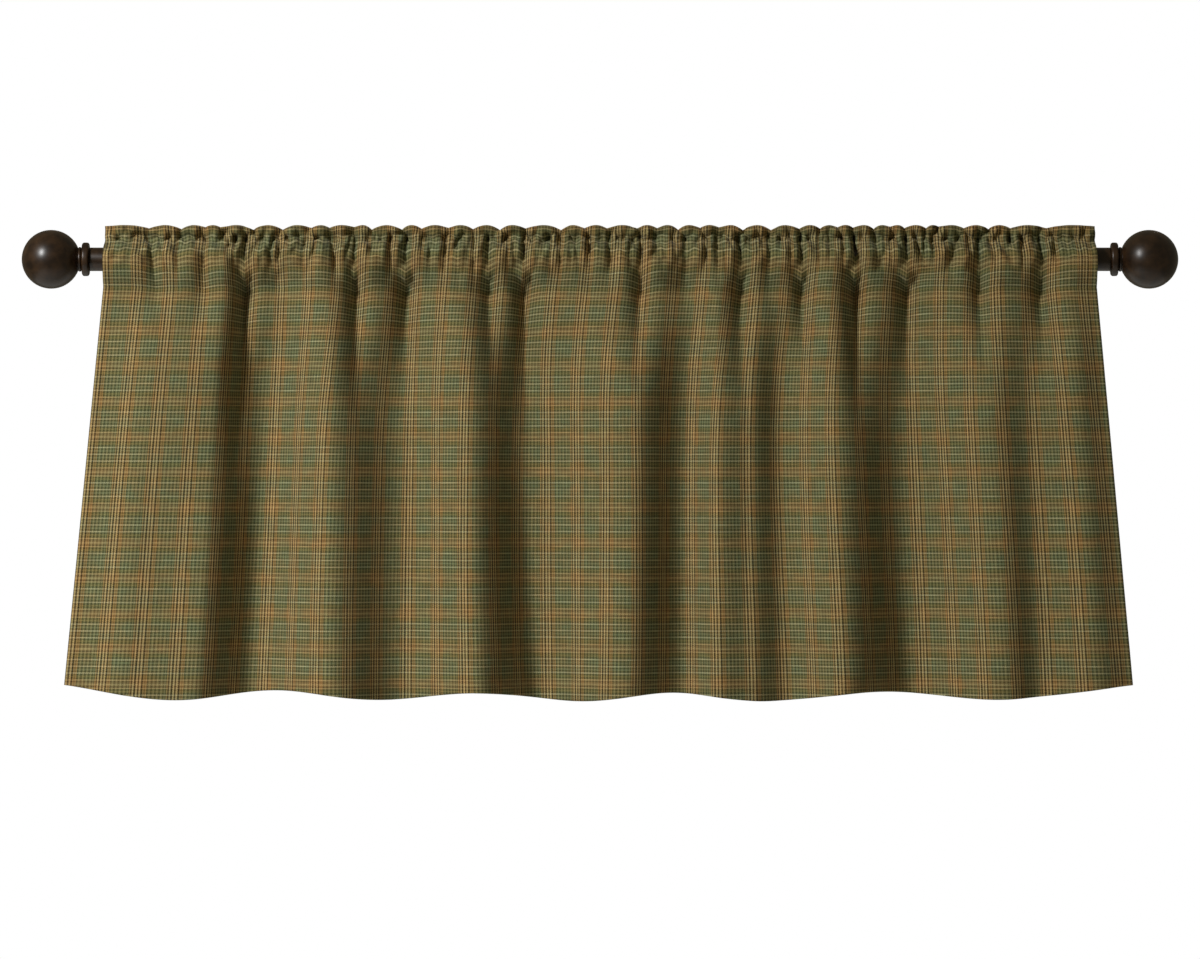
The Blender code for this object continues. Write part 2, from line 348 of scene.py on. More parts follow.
# %% Tables of folds
Fold = namedtuple("Fold", "x_top x_hem depth_top depth_hem")
FOLDS = (
    Fold(-424.5, -455, 1, 1),
    Fold(-375, -402, 12, 15),
    Fold(-325, -345, 12, 14),
    Fold(-280, -297, -24, -29),
    Fold(-230, -227, 15, 25),
    Fold(-169, -168, -17, -17),
    Fold(-115, -104, 12, 25),
    Fold(-64, -53, -17, -26),
    Fold(33, 23, 15, 22),
    Fold(76, 71, -14, -17),
    Fold(102, 102, 10, 11),
    Fold(127, 129, 3, 3),
    Fold(152, 158, -13, -13),
    Fold(199, 207, 13, 25),
    Fold(259, 267, -19, -26),
    Fold(331, 346, 14, 23),
    Fold(366, 375, 3, 6),
    Fold(401, 421, 13, 21),
    Fold(424.5, 452, 3, 9),
)

# Each gather: its place at the seam and at the header's top edge, how far it lowers
# that edge, how deep its trough is, how far down it runs, and how far it leans.
Gather = namedtuple("Gather", "x x_top dip depth reach lean")
GATHERS = (
    Gather(-384.6, -387, 2.4, 5, 75, 10),
    Gather(-360.8, -359, 3.2, 5, 50, 0),
    Gather(-338.7, -338, 1.5, 6, 90, 0),
    Gather(-326, -326, 1.5, 2, 20, 0),
    Gather(-313.2, -313, 0, 4, 40, 0),
    Gather(-303.9, -298, 3.5, 9, 220, 0),
    Gather(-290.3, -290, 0, 3, 30, 0),
    Gather(-281.8, -282, 0, 3, 30, 0),
    Gather(-275.8, -272, 3.6, 5, 60, 0),
    Gather(-253.7, -247, 2.1, 4, 50, 0),
    Gather(-226.5, -232, 2.1, 5, 60, 0),
    Gather(-210.4, -211, 1.4, 9, 160, 3.4),
    Gather(-196, -196, 3.6, 2, 20, 0),
    Gather(-180.6, -181, 0, 4, 45, 0),
    Gather(-166.2, -170, 3.5, 9, 150, 0),
    Gather(-145.8, -153, 2.8, 4, 50, 0),
    Gather(-132.4, -130, 2.1, 4, 50, 0),
    Gather(-123, -123, 0, 3.5, 60, 3),
    Gather(-108, -109, 3.2, 5, 60, 0),
    Gather(-95.6, -86, 3.7, 8, 130, 0),
    Gather(-78.6, -79, 0, 4, 50, 0),
    Gather(-65.9, -64, 2.5, 9, 170, 0),
    Gather(-42.1, -42, 0, 4, 40, 0),
    Gather(-33.6, -33, 3.8, 4, 50, 0),
    Gather(-25.1, -25, 0, 3, 35, 0),
    Gather(-10.2, -13, 2.3, 5, 60, 0),
    Gather(8.1, 6, 2.5, 5, 60, 0),
    Gather(25.1, 25, 0, 3.5, 40, 0),
    Gather(34.4, 32, 2.5, 8, 140, 0),
    Gather(49, 49, 2.4, 2, 20, 0),
    Gather(72.7, 67, 3.8, 5, 60, 0),
    Gather(90.1, 86, 2.1, 4, 40, 0),
    Gather(100.7, 102, 1.7, 5, 50, 0),
    Gather(120.3, 122, 3.9, 8, 140, 0),
    Gather(128.8, 129, 0, 3, 40, 0),
    Gather(144.1, 147, 3.9, 5, 60, 0),
    Gather(162.8, 163, 0, 3.5, 40, 0),
    Gather(172, 171, 2.9, 9, 160, 3),
    Gather(187.4, 189, 2.9, 4, 40, 0),
    Gather(195.9, 196, 0, 3, 30, 0),
    Gather(207.8, 204, 1.6, 4, 40, 0),
    Gather(218, 217, 2.1, 10, 170, 0),
    Gather(236.7, 235, 3.2, 4, 40, 0),
    Gather(249.5, 249, 1.1, 4, 40, 0),
    Gather(262.7, 261, 2.5, 9, 150, 0),
    Gather(272.4, 272, 0, 3, 30, 0),
    Gather(277.4, 280, 2.5, 4, 40, 0),
    Gather(284.3, 291, 1.0, 3.5, 40, 0),
    Gather(301.3, 312, 2.4, 4, 50, 0),
    Gather(324.3, 333, 3.1, 8, 140, 0),
    Gather(337.9, 338, 0, 3, 35, 0),
    Gather(352, 352, 2.3, 2, 20, 0),
    Gather(360.8, 361, 0, 4, 40, 0),
    Gather(377, 383, 2.3, 8, 140, 0),
    Gather(389.7, 390, 0, 3.5, 50, 0),
)

# The lower edge of the hem: its height at places across.
HemPoint = namedtuple("HemPoint", "x height")
HEM = (
    HemPoint(-455, -361),
    HemPoint(-366, -373.5),
    HemPoint(-271, -366),
    HemPoint(-181, -374),
    HemPoint(-109, -367.5),
    HemPoint(-17, -375),
    HemPoint(57, -368),
    HemPoint(142, -375),
    HemPoint(229, -367),
    HemPoint(340, -373),
    HemPoint(452, -361),
)


def table_column(table, name):
    """One named column of a table, as an array."""
    return np.array([getattr(row, name) for row in table], dtype=float)


print(len(FOLDS), "folds and", len(GATHERS), "gathers")

# %% [markdown]
# ### Folds as functions
# Each function takes places across the rod and rows down the cloth as whole arrays.
# A fold is an eased step from a crest to a valley and back.  A gather is a narrow
# trough with a sharp bottom that widens and fades on its way down.

# %% Main folds
HALF_WIDTH = 424.5                  # half the gathered width, in mm
HEADER_TOP = 28.5                   # heights above the rod's axis
POCKET_TOP = 16.5                   # the upper seam
POCKET_FOOT = -24.0                 # the lower seam
HEM_MEAN = -370.0
FULL_FOLDS_AT = 0.22                # share of the drop where the folds are full
POCKET_FOLDS = 0.42                 # share of their depth that they have on the pocket


def main_folds(x, fall):
    """How far the main folds stand forward, at places on the rod and shares of the
    drop: a step 3 s^2 - 2 s^3 between the crest and the valley on each side."""
    places = table_column(FOLDS, "x_top")
    depth_top = table_column(FOLDS, "depth_top")
    depth_hem = table_column(FOLDS, "depth_hem")
    index = np.clip(np.searchsorted(places, x) - 1, 0, len(FOLDS) - 2)
    share = (x - places[index]) / (places[index + 1] - places[index])
    left = mix(depth_top[index], depth_hem[index], fall)
    right = mix(depth_top[index + 1], depth_hem[index + 1], fall)
    grown = ease(fall / FULL_FOLDS_AT)
    smooth = share ** 2 * (3 - 2 * share)
    return mix(left, right, smooth) * mix(POCKET_FOLDS, 1.0, grown)


print("the fold at 33 mm, at the hem:", main_folds(np.array([33.0]), 1.0), "mm")

# %% Gathers
TROUGH_AT_SEAM = 4.5                # width of a gather's trough at its start
TROUGH_AT_END = 15.0                # and where it has died out
TROUGH_DEEPER = 3.2                 # times the depth in the table


def troughs(x, below):
    """How far the gathers push the cloth back, at a distance below the upper seam.

    Each adds depth * (1 - run)^1.1 * exp(-(distance / width)^1.4), where run is the
    share of its reach and the width grows from a few mm at the seam.
    """
    pushed = np.zeros(np.broadcast(x, below).shape)
    for gather in GATHERS:
        run = np.clip(below / gather.reach, 0.0, 1.0)
        width = mix(TROUGH_AT_SEAM, TROUGH_AT_END, run ** 0.7)
        across = np.abs(x - gather.x - gather.lean * run) / width
        pushed += gather.depth * (1 - run) ** 1.1 * np.exp(-across ** 1.4)
    return TROUGH_DEEPER * pushed


print("a gather of 9 mm at the seam:", troughs(np.array([[-303.9]]), 0.0).round(1))

# %% Tubes and ruffles
END_DIP = 0.8                       # depth of the notch at each end
END_NOTCH = 3                       # mm that it lies past the cloth's edge
TUBE_POWER = 0.8                    # 1 is a sine, and towards 0 the tube is squarer
TUBE_DEEPER = 1.2                   # times the gather's depth in the table
TUBE_REACH = 32.0                   # mm below the seam where the tubes are troughs
RUFFLE_POWER = 1.0


def lobes(x, rows_of_places, depths, power):
    """Round lobes that meet in sharp notches, one row of places for each row of x.

    Between two notches the lobe is sin(pi s)^power, so it is 0 in the notch and 1
    midway.  The second array is the notches' depth, drawn straight between them.
    """
    crest, depth = np.empty(x.shape), np.empty(x.shape)
    depths = np.concatenate([[END_DIP], depths, [END_DIP]])
    end = HALF_WIDTH + END_NOTCH
    for row, places in enumerate(rows_of_places):
        places = np.concatenate([[-end], places, [end]])
        index = np.clip(np.searchsorted(places, x[row]) - 1, 0, len(places) - 2)
        across = (x[row] - places[index]) / (places[index + 1] - places[index])
        crest[row] = np.sin(math.pi * np.clip(across, 0, 1)) ** power
        depth[row] = mix(depths[index], depths[index + 1], across)
    return crest, depth


def tubes(x, below):
    """How far the cloth is pushed back between the round tubes that stand on the
    upper seam, one tube between each two gathers: depth * (1 - lobe)."""
    below = np.atleast_2d(below)
    x = np.broadcast_to(x, (below.shape[0], x.shape[1]))
    run = np.clip(below / table_column(GATHERS, "reach"), 0, 1)
    places = table_column(GATHERS, "x") + run * table_column(GATHERS, "lean")
    crest, depth = lobes(x, places, table_column(GATHERS, "depth"), TUBE_POWER)
    return TUBE_DEEPER * depth * (1 - crest)


def gathered(x, below):
    """The tubes near the seam, passing into the gathers' troughs further down."""
    return mix(tubes(x, below), troughs(x, below), ease(below / TUBE_REACH))


def ruffles(x, up):
    """The header's lobes, 0 in each dip and 1 on each crest, and the dip's depth.
    up is 0 at the seam and 1 at the top edge, where the dips are a little aside."""
    rows = [gather for gather in GATHERS if gather.dip > 0]
    up = np.atleast_2d(up)
    x = np.broadcast_to(x, (up.shape[0], x.shape[1]))
    places = mix(table_column(rows, "x"), table_column(rows, "x_top"), up)
    return lobes(x, places, table_column(rows, "dip"), RUFFLE_POWER)


print("the header has", sum(gather.dip > 0 for gather in GATHERS), "dips")

# %% Puckers
PUCKER_SPACING = 6.5                # mm between creases, give or take
PUCKER_DEPTH = 6.5
PUCKER_WIDTH = 1.6                  # at the seam
PUCKER_WIDENS = 3.4                 # by this much where it has died out
END_CALM = 45.0                     # mm from each end in which they are shallower
CRUMPLE_REACH = 14.0                # mm above and below the seam
CRUMPLE_DEPTH = 2.8
CRUMPLE_SIZE = (9, 12)              # mm across and down


def unevenness(x, down, seed, size_across, size_down, waves=40):
    """A soft random ripple from -1 to 1: a sum of slanted sine waves of one size."""
    random = np.random.default_rng(seed)
    total = 0.0
    for _ in range(waves):
        angle = random.uniform(0, math.pi)
        phase = random.uniform(0, 2 * math.pi)
        total = total + np.sin(2 * math.pi * (
            x * math.cos(angle) / size_across + down * math.sin(angle) / size_down)
            + phase)
    return total / math.sqrt(2 * waves)


def puckers(x, height):
    """Short sharp creases that the upper seam draws into the cloth on both sides.

    Each is like a gather's trough, but only 1.6 to 5 mm wide.  It runs slantwise and
    fades out a random distance above or below the seam.  A soft crumple is added.
    """
    random = np.random.default_rng(11)
    places = np.arange(-HALF_WIDTH + 3, HALF_WIDTH - 3, PUCKER_SPACING)
    pushed = np.zeros(np.broadcast(x, height).shape)
    away = height - POCKET_TOP
    for place in places:
        place += random.uniform(-0.4, 0.4) * PUCKER_SPACING
        depth = random.uniform(0.3, 1.0) * PUCKER_DEPTH
        depth *= ease((HALF_WIDTH - abs(place)) / END_CALM)
        above, below = random.uniform(5, 12), random.uniform(8, 38)
        lean = random.uniform(-0.6, 0.6)
        run = np.clip(np.where(away > 0, away / above, -away / below), 0, 1)
        width = PUCKER_WIDTH + PUCKER_WIDENS * run
        across = np.abs(x - place - lean * away) / width
        pushed += depth * (1 - run) ** 0.8 * np.exp(-across ** 1.5)
    near = np.exp(-(away / CRUMPLE_REACH) ** 2)
    return pushed + CRUMPLE_DEPTH * near * unevenness(x, height, 21, *CRUMPLE_SIZE)


ripple = unevenness(np.linspace(-HALF_WIDTH, HALF_WIDTH, 500), 0.0, 21, *CRUMPLE_SIZE)
print("the crumple goes from", ripple.min().round(2), "to", ripple.max().round(2))

# %% Hem line


def smooth_curve(x, places, values):
    """A smooth curve through points, as a Hermite cubic between each pair whose slope
    at a point is that of the line between its neighbours."""
    slopes = np.gradient(values, places)
    index = np.clip(np.searchsorted(places, x) - 1, 0, len(places) - 2)
    width = places[index + 1] - places[index]
    s = np.clip((x - places[index]) / width, 0, 1)
    return ((2 * s ** 3 - 3 * s ** 2 + 1) * values[index]
            + (s ** 3 - 2 * s ** 2 + s) * width * slopes[index]
            + (3 * s ** 2 - 2 * s ** 3) * values[index + 1]
            + (s ** 3 - s ** 2) * width * slopes[index + 1])


def hem_height(x):
    """The height of the hem's lower edge, a smooth curve through the rows of HEM."""
    return smooth_curve(x, table_column(HEM, "x"), table_column(HEM, "height"))


print("the hem at the middle:", hem_height(np.array([0.0])).round(1), "mm")

# %% [markdown]
# ### The course of the cloth
# One panel makes the whole valance, so its path is followed from the raw edge inside
# the hem: down the back of the hem, round the fold, up the front, round the front of
# the rod, up the header, over, and down behind the rod.  The hem, pocket and header
# could be pieces of their own, but one sheet keeps the plaid whole across the seams.
# Each part is a block of rows.  A block gives four arrays: across, forward, height,
# and the distance down the flat cloth, which the plaid follows.

# %% Threads across the rows
SAMPLES = 5000                      # places across the rod where a row is worked out
COLUMNS = 551                       # warp threads that the mesh follows
FINE_COLUMNS = 2 * COLUMNS - 1      # the same on the pocket's front and the header

across_rod = np.linspace(-HALF_WIDTH, HALF_WIDTH, SAMPLES)[None, :]


def thread_places(across, forward):
    """Where the threads cross each row, as places among the row's samples.

    The length along a row is the sum of its small steps, and a warp thread keeps
    the same share of that length in every row, as the threads of real cloth do.
    """
    steps = np.hypot(np.diff(across, axis=1), np.diff(forward, axis=1))
    length = np.pad(np.cumsum(steps, axis=1), ((0, 0), (1, 0)))
    shares = np.linspace(0, 1, FINE_COLUMNS)
    places = [np.interp(shares * row[-1], row, np.arange(SAMPLES)) for row in length]
    return np.array(places), length[:, -1]


def taken_at(rows, places):
    """The values of rows at places between their samples, drawn straight."""
    rows = np.broadcast_to(rows, (places.shape[0], SAMPLES))
    low = np.clip(places.astype(int), 0, SAMPLES - 2)
    return mix(np.take_along_axis(rows, low, axis=1),
               np.take_along_axis(rows, low + 1, axis=1), places - low)


def behind(across, forward, distance):
    """Points set back from a row, square to the line that it makes seen from above."""
    run = np.gradient(across, axis=1)
    rise = np.gradient(forward, axis=1)
    length = np.hypot(run, rise)
    return across + distance * rise / length, forward - distance * run / length


print("a sample every", round(2 * HALF_WIDTH / SAMPLES, 2), "mm")

# %% Sag and jitter
SAG = 0.3                           # the weft sags by this share of a trough's depth
SAG_FULL = 9                        # mm below the seam where the sag is full
SAG_GONE = 120                      # and where it is gone
JITTER = 1.4                        # mm


def sag(pushed, below):
    """How far the weft hangs down in a trough: a share of its depth that starts at
    the seam, is soon full, and is gone again by 120 mm below it."""
    return SAG * pushed * ease(below / SAG_FULL) * (1 - ease(below / SAG_GONE))


def jitter(x, height):
    """Small moves up and down of the crumpled cloth near the upper seam, in mm."""
    near = np.exp(-((height - POCKET_TOP) / CRUMPLE_REACH) ** 2)
    return JITTER * near * unevenness(x, height, 8, *CRUMPLE_SIZE)


print("a trough 10 mm deep sags", sag(10.0, SAG_FULL).round(1), "mm")

# %% The drop
DROP_FORWARD = 12.5                 # mm from the rod's axis to the mean of the cloth
POCKET_SHARE = 0.994                # the lower seam draws the width in to this share
RIPPLE_DEPTH = 0.7                  # a long soft ripple of the hanging cloth, in mm
RIPPLE_FULL = 120                   # mm below the seam where it is full
RIPPLE_SIZE = (60, 150)             # mm across and down


def drop_block(fall):
    """Rows of the hanging part, at shares of the drop from the pocket to the hem."""
    fall = np.asarray(fall, dtype=float)[:, None]
    x_hem = np.interp(across_rod, table_column(FOLDS, "x_top"),
                      table_column(FOLDS, "x_hem"))
    across = mix(POCKET_SHARE * across_rod, x_hem, fall)
    flat_height = mix(POCKET_FOOT, HEM_MEAN, fall)
    cut_height = flat_height + fall * (hem_height(x_hem) - HEM_MEAN)
    below = POCKET_TOP - flat_height
    pushed = gathered(across_rod, below)
    forward = DROP_FORWARD + main_folds(across_rod, fall) - pushed
    forward = forward - puckers(across_rod, flat_height)
    ripple = unevenness(across, flat_height, 3, *RIPPLE_SIZE)
    forward = forward + RIPPLE_DEPTH * ease(below / RIPPLE_FULL) * ripple
    height = cut_height - sag(pushed, below)
    down = POCKET_TOP - cut_height
    return across, forward, height, np.broadcast_to(down, across.shape)


print("the hem is", np.ptp(drop_block([1.0])[0]).round(), "mm wide as it hangs")

# %% The front of the pocket
HEADER_SHARE = 0.991                # the upper seam draws the width in to this share
POCKET_HEIGHTS = np.array([-24.0, -14, -4, 4, 9, 13, 16.5])
POCKET_FORWARD = np.array([13.0, 20.0, 24.5, 24.5, 21.0, 15.5, 8.5])
FOLDS_FADE = 38                     # mm up the pocket in which the main folds fade
ROD_CLEAR = 11.2                    # mm from the axis that the cloth keeps clear of
ROD_EASE = 2                        # mm of extra room in which it slows down
FINER_UPWARDS = 0.75                # below 1, rows lie closer towards the seam


def pocket_front_block(rows):
    """Rows from the lower seam up to the upper one, over the front of the rod.

    Cloth that would come closer to the rod than its clear radius plus 2 mm is held
    off: 2 * exp((room - 2) / 2) takes the place of the room, and is never 0.
    """
    up = np.linspace(0, 1, rows + 1)[1:, None] ** FINER_UPWARDS
    height = mix(POCKET_FOOT, POCKET_TOP, up)
    below = POCKET_TOP - height
    pushed = gathered(across_rod, below)
    fade = ease(1 - (height - POCKET_FOOT) / FOLDS_FADE)
    folds = main_folds(across_rod, 0.0) * fade
    forward = smooth_curve(height, POCKET_HEIGHTS, POCKET_FORWARD) + folds
    forward = forward - pushed - puckers(across_rod, height)
    inside = ROD_CLEAR ** 2 - height ** 2
    clear = np.where(inside > 0, np.sqrt(np.abs(inside)),
                     -2 * (np.abs(height) - ROD_CLEAR))
    room = forward - clear
    held_off = ROD_EASE * np.exp((room - ROD_EASE) / ROD_EASE)
    forward = clear + np.where(room > ROD_EASE, room, held_off)
    height = height - sag(pushed, below) + jitter(across_rod, height)
    across = across_rod * mix(POCKET_SHARE, HEADER_SHARE, ease(height / POCKET_TOP))
    return across, forward, height, np.broadcast_to(below, across.shape)


print("the pocket stands", POCKET_FORWARD.max(), "mm in front of the rod's axis")

# %% The header
HEADER_FORWARD = 8.0                # mm from the rod's axis to the mean of the ruffle
RUFFLE_SWING = 2.4                  # mm forward on a crest and back in a dip
RUFFLE_RIPPLE = 0.8                 # mm
RUFFLE_RIPPLE_SIZE = (16, 40)       # mm across and down
SWING_BY = 1.3                      # the swing is full at 1 / 1.3 of the height
DIP_DEEPER = 1.1                    # times the dip in the table


def header_block(rows, face):
    """Rows of the ruffle, from the seam to the top on the front (face 1), or from
    the top to the seam on the back (face -1)."""
    up = np.linspace(0, 1, rows + 1)[1:, None]
    if face < 0:
        up = 1 - up
    length = HEADER_TOP - POCKET_TOP
    crest, dip = ruffles(across_rod, up)
    level = mix(POCKET_TOP, HEADER_TOP, up)
    at_seam = -tubes(across_rod, 0.0)
    ripple = unevenness(across_rod, up * length, 5, *RUFFLE_RIPPLE_SIZE)
    at_top = RUFFLE_SWING * (2 * crest - 1) + RUFFLE_RIPPLE * ripple
    forward = HEADER_FORWARD + mix(at_seam, at_top, ease(up * SWING_BY))
    forward = forward - puckers(across_rod, level)
    height = level - up ** 2 * dip * (1 - crest) * DIP_DEEPER
    height = height + (1 - up ** 2) * jitter(across_rod, level)
    across = across_rod * HEADER_SHARE * np.ones((rows, 1))
    down = -length * up if face > 0 else -length * (2 - up)
    return across, forward, height, np.broadcast_to(down, across.shape)


print("the header is", HEADER_TOP - POCKET_TOP, "mm high")

# %% The back of the pocket
BACK_HEIGHTS = np.array([-24.0, -14, -6, 4, 10, 14, 16.5])
BACK_FORWARD = np.array([-10.0, -12, -12.5, -12.2, -9.2, -2.0, 6.8])
BACK_SWING = 0.8                    # mm; the ruffles show faintly on the back
SEAM_FADE = 9                       # mm in which the upper seam's gathers fade
FOOT_FADE = 13                      # mm above the lower seam where it meets the front
BACK_LONGER = 1.2                   # its path, times its height
LAYERS = 1.3                        # between the middles of two layers sewn together


def pocket_back_block(rows):
    """Rows from the upper seam down behind the rod to the lower seam."""
    height = np.linspace(POCKET_TOP, POCKET_FOOT, rows + 1)[1:, None]
    bulge = smooth_curve(height, BACK_HEIGHTS, BACK_FORWARD)
    crest, _ = ruffles(across_rod, np.zeros((rows, 1)))
    seam = ease(1 - (POCKET_TOP - height) / SEAM_FADE)
    gather = tubes(across_rod, 0.0) + puckers(across_rod, POCKET_TOP)
    forward = bulge - mix(BACK_SWING * (1 - 2 * crest), gather, seam)
    at_foot = DROP_FORWARD + main_folds(across_rod, 0.0) - gathered(
        across_rod, POCKET_TOP - POCKET_FOOT) - LAYERS
    forward = mix(forward, at_foot, ease(1 - (height - POCKET_FOOT) / FOOT_FADE))
    across = across_rod * mix(POCKET_SHARE, HEADER_SHARE, ease(height / POCKET_TOP))
    down = -2 * (HEADER_TOP - POCKET_TOP) - (POCKET_TOP - height) * BACK_LONGER
    return across, forward, height, np.broadcast_to(down, across.shape)


print("the back of the pocket stands", -BACK_FORWARD.min(), "mm behind the axis")

# %% Blocks in order
HEM_TURN = 0.89                     # the hem is turned up to this share of the drop
DROP_ROWS = 25
CLOSER_TO_SEAM = 1.25               # above 1, rows lie closer towards the seam
HEADER_GAP = 0.5                    # mm that each face of the header is set apart

# The hem's fold is a half circle in three steps: how far down, and how far back.
FOLD_DOWN = np.array([[-0.87], [-1.0], [-0.6]])
FOLD_BACK = np.array([[0.8], [0.5], [0.1]])

# A block is its arrays, how far it is set back, and which fine columns it keeps.
Block = namedtuple("Block", "arrays set_back every")
falls = np.linspace(1, 0, DROP_ROWS) ** CLOSER_TO_SEAM
edge = drop_block(np.ones(3))
under = edge[2] + LAYERS / 2 * FOLD_DOWN
turned_up = drop_block(np.linspace(HEM_TURN, 1.0, 3))
BLOCKS = (
    Block((*turned_up[:3], 2 * edge[3][:1] - turned_up[3]), LAYERS, 2),
    Block((*edge[:2], under, edge[3]), LAYERS * FOLD_BACK, 2),
    Block(drop_block(falls), 0.0, 2),
    Block(pocket_front_block(15), 0.0, 1),
    Block(header_block(5, 1), -HEADER_GAP, 1),
    Block(header_block(4, -1), HEADER_GAP, 1),
    Block(pocket_back_block(7), 0.0, 2))
print("rows in each block:", [len(block.arrays[0]) for block in BLOCKS])

# %% [markdown]
# ### Threads that keep straight
# A warp thread keeps its share of the length in every row, so the stripes follow the
# cloth into each trough.  Cloth is stiff as well, so a thread can't turn within a few
# millimetres: its places are evened out along the path, over about 80 mm.

# %% Even out the threads
THREAD_STIFFNESS = 80.0             # mm over which a warp thread keeps straight

found = [thread_places(*block.arrays[:2]) for block in BLOCKS]
row_places = np.concatenate([places for places, _ in found])
row_lengths = np.concatenate([length for _, length in found])
path = np.concatenate([block.arrays[3].mean(axis=1) for block in BLOCKS])
weight = np.exp(-((path[:, None] - path) / THREAD_STIFFNESS) ** 2)
weight *= np.abs(np.gradient(path))
row_places = weight / weight.sum(axis=1, keepdims=True) @ row_places
print(len(path), "rows,", row_lengths.min().round(), "to", row_lengths.max().round())

# %% Rows at their threads
CUT_WIDTH = 1.10                    # metres, the flat panel

grids = []
first = 0
for block in BLOCKS:
    places = row_places[first:first + len(block.arrays[0]), ::block.every]
    first += len(block.arrays[0])
    across, forward, height, down = (taken_at(a, places) for a in block.arrays)
    if np.any(block.set_back):
        across, forward = behind(across, forward, block.set_back)
    thread = np.broadcast_to(np.linspace(0, CUT_WIDTH / MM, down.shape[1]), down.shape)
    grids.append(np.stack([across, -forward, height, thread, down], axis=-1) * MM)
lower, upper, back = np.concatenate(grids[:3]), np.concatenate(grids[3:6]), grids[6]
print("grids", lower.shape[:2], upper.shape[:2], back.shape[:2])

# %% Join the three grids


def bridge(coarse, fine):
    """Three triangles for each column, from a coarse row up to a fine row."""
    left, right = coarse[:-1], coarse[1:]
    first, middle, last = fine[:-2:2], fine[1::2], fine[2::2]
    return np.concatenate([np.stack(corners, axis=-1) for corners in (
        (left, right, middle), (left, middle, first), (right, last, middle))])


sections = (lower, upper, back)
index = []
count = 0
for section in sections:
    size = section.shape[0] * section.shape[1]
    index.append(np.arange(count, count + size).reshape(section.shape[:2]))
    count += size
quads = np.concatenate([
    grid_faces(*part.shape) + part[0, 0] for part in index])
triangles = np.concatenate([
    bridge(index[0][-1], index[1][0]), bridge(index[2][0], index[1][-1])[:, ::-1]])
values = np.concatenate([section.reshape(-1, 5) for section in sections])
faces = quads[:, ::-1].tolist() + triangles[:, ::-1].tolist()
valance = add_mesh("gathered_valance", values[:, :3], faces)

corner_points = np.empty(len(valance.data.loops), dtype=np.int32)
valance.data.loops.foreach_get("vertex_index", corner_points)
layer = valance.data.uv_layers.new(name="flat_cloth")
layer.data.foreach_set("uv", values[corner_points, 3:].ravel())
print(count, "points of one skin")

# %% [markdown]
# ### Thickness
# The skin is the middle of the cotton.  A second skin could be worked out beside it,
# but Solidify does that and closes the edges.  It is then applied, so that one closed
# piece is left.

# %% Thickness
CLOTH_THICKNESS = 0.7 * MM

solidify = valance.modifiers.new("thickness", "SOLIDIFY")
solidify.thickness = CLOTH_THICKNESS
solidify.offset = 0.0
evaluated = valance.evaluated_get(bpy.context.evaluated_depsgraph_get())
solid = bpy.data.meshes.new_from_object(evaluated)
valance.modifiers.clear()
valance.data = solid
solid.name = "gathered_valance"
print(sum(len(p.vertices) - 2 for p in solid.polygons), "triangles")

# %% [markdown]
# ### Homespun plaid
# Homespun is a plain weave of yarns that were dyed before weaving.  The plaid is two
# stripe lists, one for the lengthwise yarns and one for the crosswise yarns.  Where
# they cross, the eye sees an even mix of the two, broken up by the weave.  One flat
# drawing of the plaid would do for one size only.  Here each list is a colour ramp
# with hard steps, read at the place of the yarn in its repeat, in mm of flat cloth.
# A colour's fourth number is its yarn's cover: a dark thick yarn hides more of those
# that it crosses.

# %% Stripe lists
Stripe = namedtuple("Stripe", "width colour")
YARNS = {
    "straw": linear("c6a873", 0.29),
    "chaff": linear("a4834f", 0.27),
    "tan": linear("805f35", 0.27),
    "umber": linear("49341d", 0.6),
    "bark": linear("33220f", 0.75),
    "oat": linear("ab966b", 0.30),
    "hay": linear("7d6846", 0.30),
    "dun": linear("5a482e", 0.31),
    "olive": linear("6f6842", 0.25),
    "fern": linear("434127", 0.27),
    "sage": linear("938a5f", 0.25),
    "khaki": linear("7b7349", 0.26),
    "peat": linear("525030", 0.27),
    "spruce": linear("4a4f35", 0.29),
    "mist": linear("797e5f", 0.27),
    "cream": linear("afaa87", 0.3),
}
WARP = (
    Stripe(1.1, "chaff"), Stripe(1.3, "umber"), Stripe(1.3, "straw"),
    Stripe(1.6, "bark"), Stripe(1.4, "straw"), Stripe(1.4, "umber"),
    Stripe(1.5, "straw"), Stripe(1.5, "bark"), Stripe(1.2, "chaff"),
    Stripe(1.1, "tan"), Stripe(1.0, "chaff"),
    Stripe(1.0, "fern"), Stripe(0.8, "olive"), Stripe(1.0, "sage"),
    Stripe(0.6, "olive"), Stripe(1.1, "fern"), Stripe(0.7, "olive"),
    Stripe(0.9, "sage"), Stripe(0.7, "olive"), Stripe(1.0, "fern"),
    Stripe(0.7, "olive"), Stripe(1.0, "sage"), Stripe(0.7, "olive"),
    Stripe(1.1, "fern"), Stripe(0.6, "olive"), Stripe(1.0, "sage"),
    Stripe(0.7, "olive"), Stripe(0.9, "fern"), Stripe(0.6, "olive"),
    Stripe(0.6, "sage"), Stripe(0.9, "fern"),
)
WEFT = (
    Stripe(1.2, "oat"), Stripe(0.9, "dun"), Stripe(1.5, "hay"),
    Stripe(1.4, "oat"), Stripe(0.9, "hay"), Stripe(0.9, "dun"),
    Stripe(1.2, "oat"),
    Stripe(1.5, "peat"), Stripe(1.4, "khaki"), Stripe(1.8, "spruce"),
    Stripe(1.2, "cream"),
    Stripe(1.5, "spruce"), Stripe(1.4, "mist"), Stripe(1.6, "spruce"),
    Stripe(1.2, "cream"),
    Stripe(1.6, "spruce"), Stripe(1.4, "mist"), Stripe(1.6, "spruce"),
    Stripe(1.2, "cream"),
    Stripe(1.5, "spruce"), Stripe(1.4, "khaki"), Stripe(1.7, "peat"),
)
